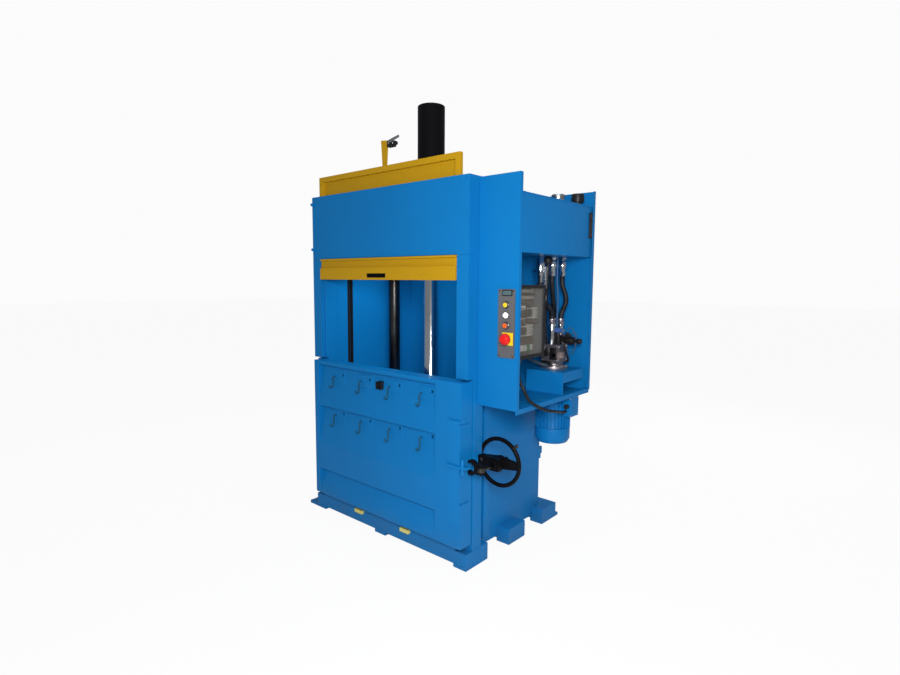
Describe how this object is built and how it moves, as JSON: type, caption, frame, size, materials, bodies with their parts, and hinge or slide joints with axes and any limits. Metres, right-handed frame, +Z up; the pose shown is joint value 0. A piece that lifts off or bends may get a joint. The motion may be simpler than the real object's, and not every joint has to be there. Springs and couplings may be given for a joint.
{
  "type": "vertical recycling baler",
  "caption": "Vertical baler with a side-hung bale door, a sliding feed gate, a ram-driven platen and a hydraulic unit hung between side wings.",
  "frame": {"origin": "on the floor under the centre pad of the middle base beam", "axes": "+X to the right seen from the front, +Y to the back, +Z up"},
  "size_m": [1.76, 1.1063, 2.777],
  "materials": {
    "blue_paint": "satin",
    "yellow_paint": "satin",
    "tip_paint": "satin",
    "black_paint": "satin",
    "chrome": "polished",
    "dark_steel": "oiled",
    "steel": "brushed",
    "black_plastic": "matte",
    "grey_paint": "satin",
    "device_plastic": "matte",
    "clear_window": "clear",
    "hose_rubber": "matte",
    "red_plastic": "gloss",
    "white_plastic": "gloss"
  },
  "bodies": {
    "frame": {"base_beams": "blue_paint", "chamber_floor": "blue_paint", "front_posts": "blue_paint", "side_wall_left": "blue_paint", "side_wall_right": "blue_paint", "guide_channels": "blue_paint", "back_wall": "blue_paint", "crown_plate": "blue_paint", "crown_beams": "blue_paint", "header_panel": "blue_paint", "hinge_sockets": "blue_paint", "wing_front": "blue_paint", "wing_rear": "blue_paint", "unit_shelf": "blue_paint", "oil_tank": "blue_paint", "pump_plinth": "blue_paint", "gate_guides": "blue_paint", "motor_housing": "blue_paint", "fan_cowl": "blue_paint", "terminal_box": "blue_paint", "foot_pads": "blue_paint", "ejector_tips": "tip_paint", "cylinder_tube": "black_paint", "latch_bracket": "black_paint", "valve_block": "black_paint", "hose_fittings": "chrome", "suction_valve": "chrome", "solenoid_valve": "dark_steel", "filler_cap": "dark_steel", "breather_cap": "steel", "level_gauge": "black_plastic", "cabinet_body": "grey_paint", "control_panel": "grey_paint", "cabinet_devices": "device_plastic", "suction_hose": "hose_rubber", "pressure_hoses": "hose_rubber", "motor_cable": "hose_rubber", "signal_lamp": "white_plastic"},
    "platen_ram": {"platen": "blue_paint", "ram_rod": "chrome", "guide_rods": "dark_steel"},
    "gate": {"gate_panel": "yellow_paint", "gate_handle": "black_paint", "switch_bracket": "yellow_paint", "limit_switch": "black_plastic"},
    "switch_lever": {"switch_lever": "steel"},
    "bale_door": {"door_shell": "blue_paint", "latch_bar": "blue_paint", "strap_hooks": "dark_steel", "hinge_knuckles": "blue_paint"},
    "handwheel": {"handwheel": "black_paint"},
    "latch_spindle": {"latch_spindle": "dark_steel"},
    "latch_claw": {"latch_claw": "black_paint"},
    "start_button": {"start_button": "yellow_paint"},
    "stop_button": {"stop_button": "red_plastic"},
    "estop_head": {"estop_head": "red_plastic"},
    "cabinet_door": {"cabinet_door": "black_plastic", "cabinet_window": "clear_window"},
    "motor_fan": {"motor_fan": "black_plastic"},
    "suction_lever": {"suction_valve_lever": "steel"}
  },
  "joints": [
    {"name": "platen_stroke", "type": "slide", "parent": "frame", "child": "platen_ram", "axis": [0, 0, 1], "range_m": [0, 0.84]},
    {"name": "gate_drop", "type": "slide", "parent": "frame", "child": "gate", "axis": [0, 0, 1], "range_m": [-0.544, 0]},
    {"name": "switch_lever_swing", "type": "hinge", "parent": "gate", "child": "switch_lever", "pos_m": [0.054, -0.498, 2.461], "axis": [0, 1, 0], "range_deg": [-20, 0], "stiffness_Nm_per_rad": 0.3, "springref_deg": 11.46},
    {"name": "door_swing", "type": "hinge", "parent": "frame", "child": "bale_door", "pos_m": [-0.662, -0.511, 0.145], "axis": [0, 0, 1], "range_deg": [-115, 0]},
    {"name": "handwheel_turn", "type": "hinge", "parent": "frame", "child": "handwheel", "pos_m": [0.8, -0.355, 0.625], "axis": [0, 1, 0], "range_deg": [0, 3000]},
    {"name": "latch_draw", "type": "slide", "parent": "frame", "child": "latch_spindle", "axis": [0, -1, 0], "range_m": [0, 0.05]},
    {"name": "claw_swing", "type": "hinge", "parent": "latch_spindle", "child": "latch_claw", "pos_m": [0.8, -0.525, 0.625], "axis": [0, 0, 1], "range_deg": [0, 100]},
    {"name": "start_press", "type": "slide", "parent": "frame", "child": "start_button", "axis": [0, 1, 0], "range_m": [0, 0.004], "stiffness_N_per_m": 1000, "springref_m": -0.002},
    {"name": "stop_press", "type": "slide", "parent": "frame", "child": "stop_button", "axis": [0, 1, 0], "range_m": [0, 0.004], "stiffness_N_per_m": 1000, "springref_m": -0.002},
    {"name": "estop_press", "type": "slide", "parent": "frame", "child": "estop_head", "axis": [0, 1, 0], "range_m": [0, 0.006], "stiffness_N_per_m": 1500, "springref_m": -0.002},
    {"name": "cabinet_door_swing", "type": "hinge", "parent": "frame", "child": "cabinet_door", "pos_m": [0.93, -0.117, 1.22], "axis": [0, 0, 1], "range_deg": [0, 110]},
    {"name": "fan_spin", "type": "hinge", "parent": "frame", "child": "motor_fan", "pos_m": [0.785, 0.25, 0.673], "axis": [0, 0, 1], "continuous": true},
    {"name": "suction_lever_turn", "type": "hinge", "parent": "frame", "child": "suction_lever", "pos_m": [0.8335, 0.045, 1.711], "axis": [1, 0, 0], "range_deg": [0, 90]}
  ],
  "couplings": [
    {"joint": "latch_draw", "follows": "handwheel_turn", "m_per_rad": 0.0009549}
  ]
}
